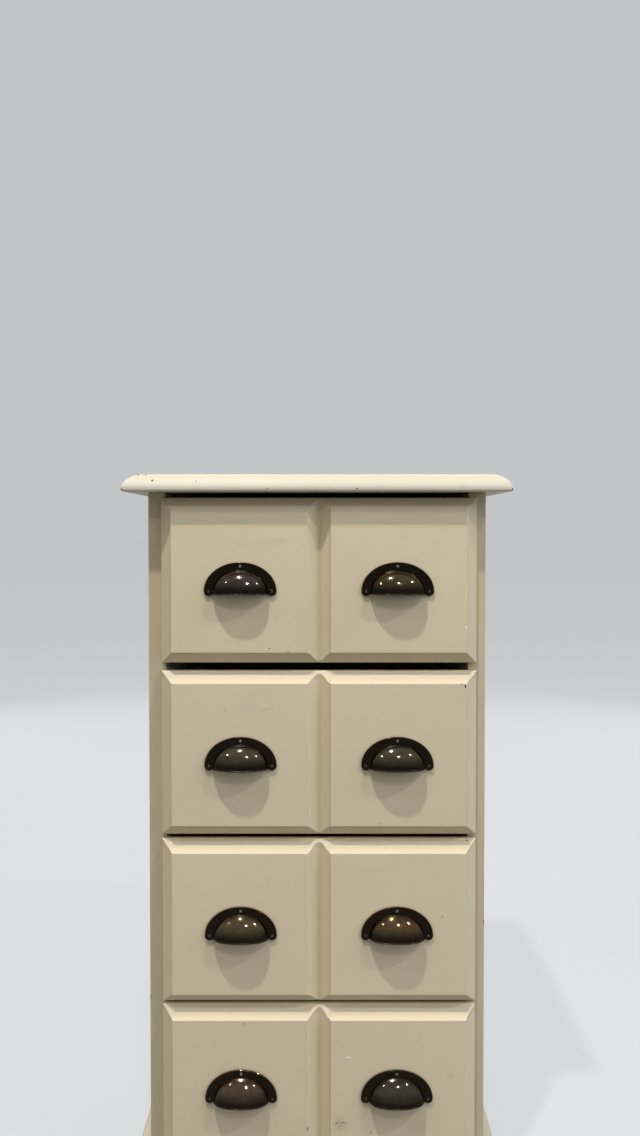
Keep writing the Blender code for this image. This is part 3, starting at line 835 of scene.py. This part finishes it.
def tube(path, normal, radius):
    """A round bar along a flat path, square at its ends."""
    loops = []
    upright = Vector(normal)
    for index, point in enumerate(path):
        before, after = path[max(index - 1, 0)], path[min(index + 1, len(path) - 1)]
        side = upright.cross(Vector(after) - Vector(before)).normalized()
        loop = []
        for step in range(TUBE_SIDES):
            angle = math.tau * step / TUBE_SIDES
            offset = side * math.cos(angle) + upright * math.sin(angle)
            loop.append(Vector(point) + offset * radius)
        loops.append(loop)
    return lofted(loops)


def cup_form(half_width, projection, height, planes=()):
    """A dome, an ellipse from the front, round over the crown and fuller to the sides, cut at planes."""
    section_radius = (projection**2 + height**2) / (2 * projection)
    bm = bmesh.new()
    bmesh.ops.create_uvsphere(bm, u_segments=CUP_SEGMENTS, v_segments=CUP_RINGS, radius=1.0)
    turn = Matrix.Rotation(math.pi / 2, 3, "Y")
    bmesh.ops.rotate(bm, cent=(0.0, 0.0, 0.0), matrix=turn, verts=bm.verts)
    for vert in bm.verts:
        spread = min(math.hypot(vert.co.x, vert.co.z), 1.0)
        side_reach = (1 - spread**CUP_FULLNESS) ** (1 / CUP_FULLNESS)
        arc_reach = math.sqrt(section_radius**2 - (spread * height) ** 2) - section_radius + projection
        crown = (vert.co.z / spread) ** 2 if spread > 0 else 0.0
        reach = crown * arc_reach / projection + (1 - crown) * side_reach
        vert.co.y = math.copysign(reach, vert.co.y)
    bmesh.ops.scale(bm, vec=(half_width, projection, height), verts=bm.verts)
    for point, normal in planes:
        geometry = [*bm.verts, *bm.edges, *bm.faces]
        bmesh.ops.bisect_plane(
            bm, geom=geometry, dist=WELD, plane_co=point, plane_no=normal, clear_outer=True
        )
        bmesh.ops.holes_fill(bm, edges=[edge for edge in bm.edges if edge.is_boundary])
    mesh = bpy.data.meshes.new("cup_form")
    bm.to_mesh(mesh)
    bm.free()
    return mesh


def rim_curve(half, reach):
    """The cup's rim seen from above, from its left end round the front to its right end."""
    points = []
    for point in arc((0.0, 0.0), (1.0, 1.0), RIM_START, RIM_END, TUBE_STEPS):
        x, y = swelled(*point, CUP_FULLNESS)
        points.append((half * x, reach * y, 0.0))
    return points


def flange_mesh():
    """The crescent that the cup stands on, its front arris rounded."""
    arch = (LOBE_X + LOBE_RADIUS, FLANGE_TOP - LOBE_RISE)
    lobe = (LOBE_RADIUS, LOBE_RADIUS)
    notch = math.degrees(math.asin((LOBE_RISE - NOTCH_RISE) / LOBE_RADIUS))
    outline = arc((0.0, LOBE_RISE), arch, 0, 180, 3 * ARC_STEPS)
    outline += arc((-LOBE_X, LOBE_RISE), lobe, 180, 360 - notch)[1:]
    outline += arc((LOBE_X, LOBE_RISE), lobe, 180 + notch, 360)[:-1]
    loops = [[(x, y, z) for x, z in outline] for y in (0.0, -FLANGE_THICKNESS)]
    return softened(lofted(loops), FLANGE_ARRIS, degrees=FLANGE_CREASE_DEGREES)


def pull_mesh():
    """A cup pull from the middle of its rim: flange, hollow cup and rolled lip."""
    outside = Vector((CUP_WIDTH / 2, CUP_PROJECTION, CUP_HEIGHT))
    inside = outside - Vector((CUP_WALL, CUP_WALL, CUP_WALL))
    rim_plane = ((0.0, 0.0, 0.0), (0.0, 0.0, -1.0))
    seat_plane = ((0.0, -FLANGE_THICKNESS / 2, 0.0), (0.0, 1.0, 0.0))
    solid = combined(flange_mesh(), [cup_form(*outside, [rim_plane, seat_plane])], "UNION")
    edge = rim_curve(outside.x - CUP_LIP / 2, outside.y - CUP_LIP / 2)
    lip = tube(edge, (0.0, 0.0, 1.0), CUP_LIP)
    return shaded(combined(combined(solid, [cup_form(*inside)]), [lip], "UNION"))


def screw_mesh():
    """A round-headed slotted screw's head, from the middle of its seat, facing -Y."""
    loops = []
    curve = arc((0.0, 0.0), (SCREW_HEAD_RADIUS, SCREW_HEAD_HEIGHT), 0, SCREW_HEAD_ARC, ROUND_STEPS)
    for radius, height in curve:
        ring = arc((0.0, 0.0), (radius, radius), 0, 360, SCREW_SIDES)[:-1]
        loops.append([(x, -height, z) for x, z in ring])
    slot = block(
        (-SCREW_SLOT_WIDTH / 2, -SCREW_HEAD_HEIGHT - CUT_MARGIN, -2 * SCREW_HEAD_RADIUS),
        (SCREW_SLOT_WIDTH / 2, SCREW_SLOT_DEPTH - SCREW_HEAD_HEIGHT, 2 * SCREW_HEAD_RADIUS),
    )
    return shaded(combined(lofted(loops), [slot]))


def build_pulls():
    pull, screw = pull_mesh(), screw_mesh()
    screws = [
        ("crown", 0.0, FLANGE_TOP - CROWN_SCREW_DROP),
        ("lobe", -LOBE_X, LOBE_RISE),
        ("lobe", LOBE_X, LOBE_RISE),
    ]
    finishes = {}
    for where, tone in SCREW_TONES.items():
        finishes[where] = bronze(f"screw_bronze_{where}", tone, tone, SCREW_SHIFT)
    for number in DRAWERS:
        for hand, rubbed in zip(HANDS, RUBBED_TONES[number]):
            node = f"drawer_{number}_pull_{hand}"
            body = f"drawer_{number}"
            low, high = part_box(node)
            spot = Vector(((low.x + high.x) / 2, high.y, low.z + LOBE_RADIUS - LOBE_RISE))
            finish = bronze(f"bronze_{number}_{hand}", PATINA, rubbed, spot.x + spot.z)
            cup = place(f"{node}_cup", pull, finish, body, spot)
            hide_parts(node)
            for count, ((where, x, z), turn) in enumerate(zip(screws, SCREW_TURNS), start=1):
                seat = spot + Vector((x, -FLANGE_THICKNESS, z))
                head = place(f"{node}_screw_{count}", screw, finishes[where], body, seat)
                head.rotation_euler = (0.0, math.radians(turn + SCREW_TURN_STEP * number), 0.0)


def dress_boards():
    """The boards that keep their CAD shape."""
    side_marks = {
        "left": [chip(-0.2150, -0.1595, 0.2900, 0.0030, 0.0080)],
        "right": [chip(0.2150, -0.1595, 0.3880, 0.0030, 0.0060)],
    }
    for hand in HANDS:
        material = paint(f"side_paint_{hand}", "z", SIDE_TONE, side_marks[hand], SIDE_SHIFT)
        dress(f"side_{hand}", material)
    pine = {axis: timber(f"pine_{axis}", axis, PINE_PALE, PINE_DARK) for axis in "xyz"}
    plywood = {}
    for axis in "xz":
        plywood[axis] = timber(f"plywood_{axis}", axis, PLY_PALE, PLY_DARK, PLY_RING, PLY_WANDER)
    dress("back_panel", plywood["z"])
    dress("base_board", pine["x"])
    dress("back_rail", pine["x"])
    for hand in HANDS:
        dress(f"top_cleat_{hand}", pine["y"])
        dress(f"plinth_block_{hand}", pine["z"])
    for number in DRAWERS:
        box = timber(f"drawer_pine_{number}", "y", PINE_PALE, PINE_DARK, shift=BOX_SHIFT * number)
        back = timber(f"drawer_back_pine_{number}", "x", PINE_PALE, PINE_DARK, shift=BACK_SHIFT * number)
        for hand in HANDS:
            dress(f"runner_{number}_{hand}", pine["y"])
            dress(f"drawer_{number}_side_{hand}", box)
        dress(f"drawer_{number}_back", back)
        dress(f"drawer_{number}_bottom", plywood["x"])


def main():
    bpy.context.scene.view_settings.view_transform = "Standard"
    build_camera()
    build_stage()
    build_lamps()
    dress_boards()
    build_top()
    build_plinth()
    build_fronts()
    build_pulls()


main()
